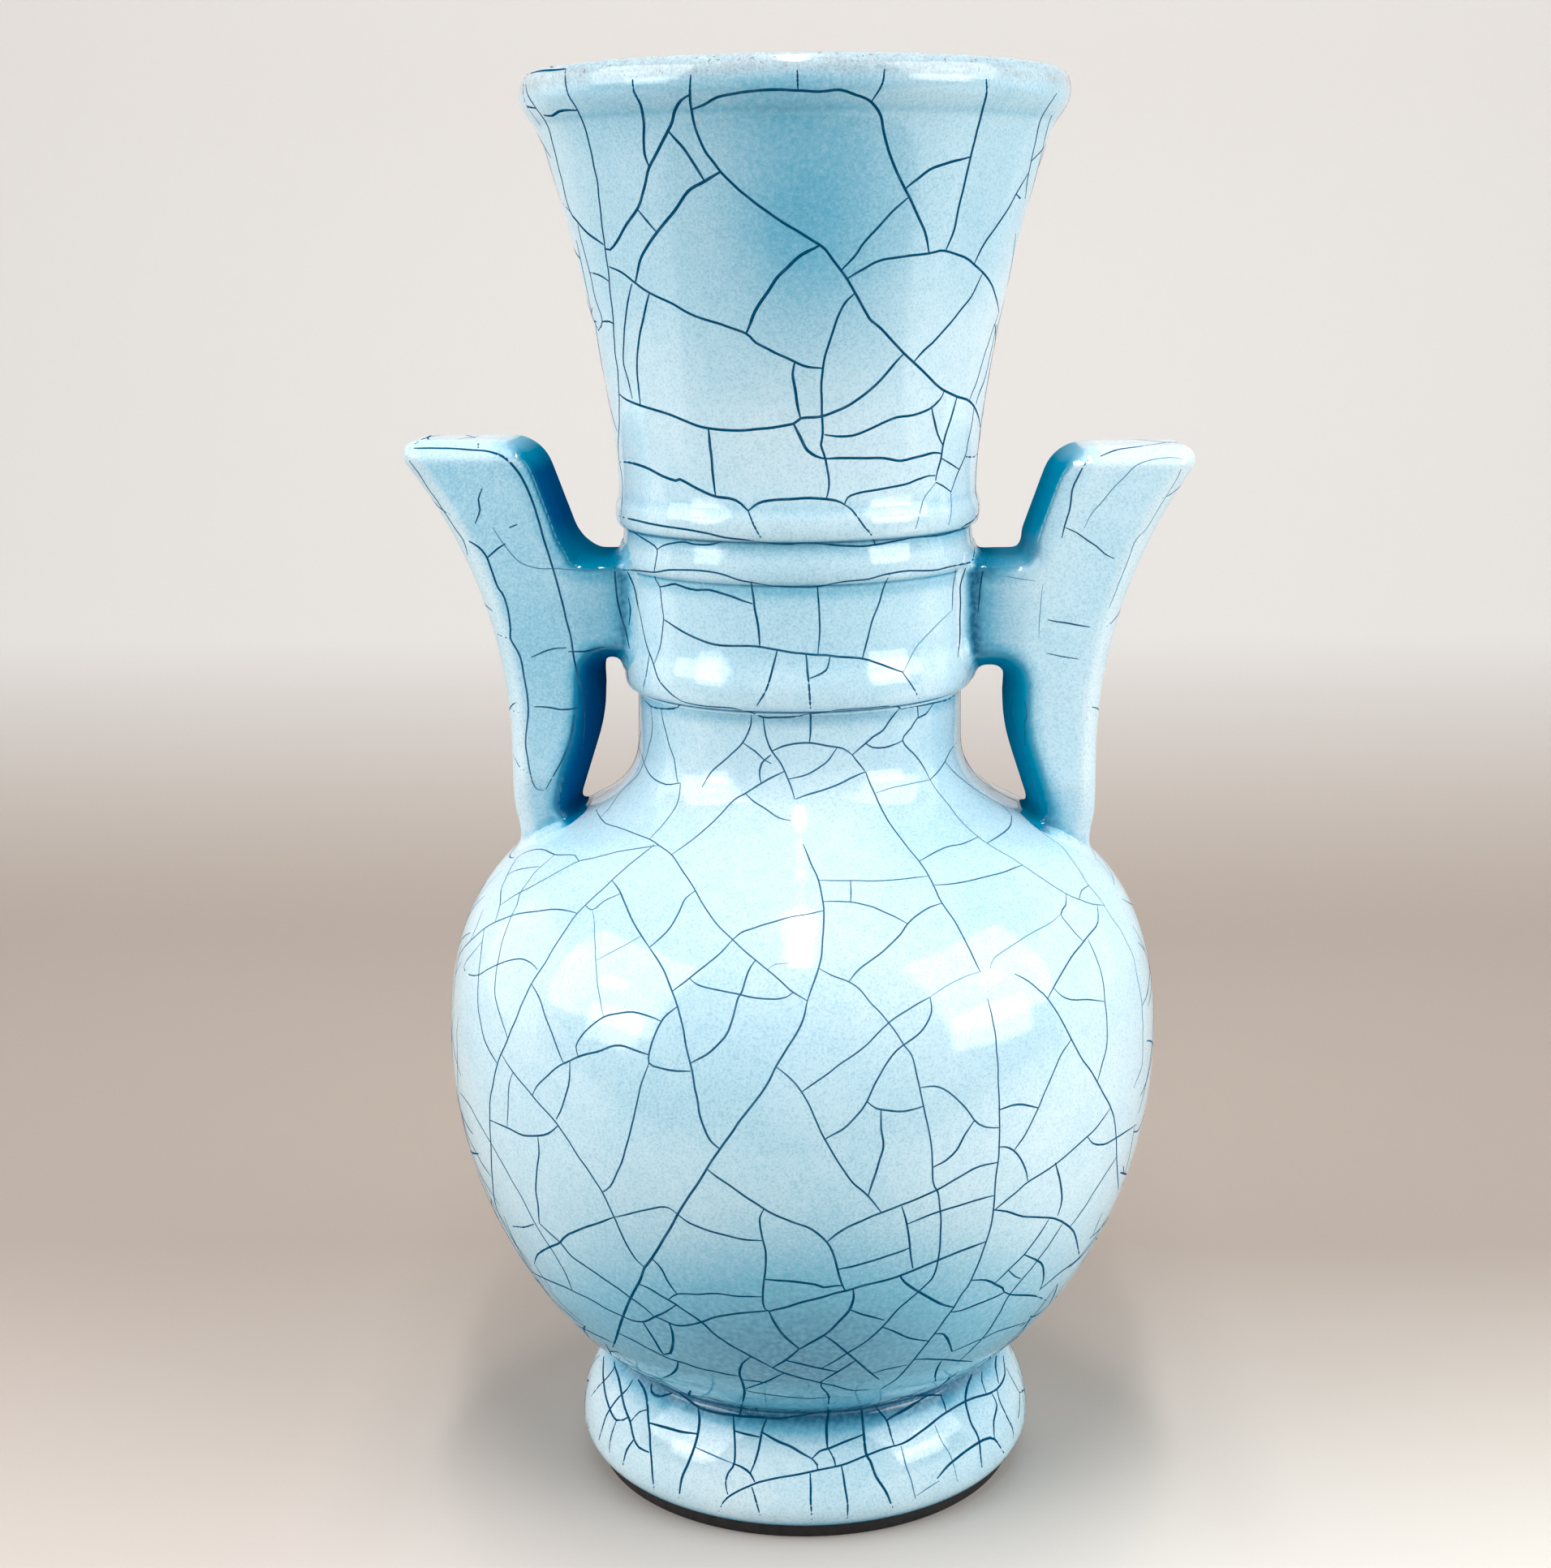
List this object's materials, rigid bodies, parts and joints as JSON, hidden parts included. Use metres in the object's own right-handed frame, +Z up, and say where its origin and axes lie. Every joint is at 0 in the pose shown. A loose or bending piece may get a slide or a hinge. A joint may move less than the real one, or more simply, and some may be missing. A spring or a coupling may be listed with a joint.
{
  "type": "handled baluster vase",
  "caption": "Baluster vase in pale blue crackle glaze with a trumpet mouth, banded neck, globular belly, spreading foot and flared fin handles, for cut flowers or display.",
  "frame": {"origin": "middle of the face that the vase stands on", "axes": "+Z up along the vase's axis, +X along the line through both handles (the picture is seen from about -Y), +Y to the back"},
  "size_m": [0.1365, 0.128, 0.25],
  "materials": {
    "glaze": "gloss",
    "handle_glaze": "gloss",
    "slip": "matte",
    "bare_clay": "matte"
  },
  "bodies": {
    "root": {"foot_tread": "bare_clay", "foot_ring": "glaze", "lower_belly": "glaze", "upper_belly": "glaze", "neck_drum": "glaze", "neck_collar": "glaze", "trumpet_mouth": "glaze", "foot_slip": "slip", "belly_slip": "slip", "drum_slip": "slip", "collar_slip": "slip", "mouth_slip": "slip", "left_handle": "handle_glaze", "right_handle": "handle_glaze", "left_neck_pad": "handle_glaze", "right_neck_pad": "handle_glaze", "left_shoulder_pad": "handle_glaze", "right_shoulder_pad": "handle_glaze"}
  },
  "joints": []
}
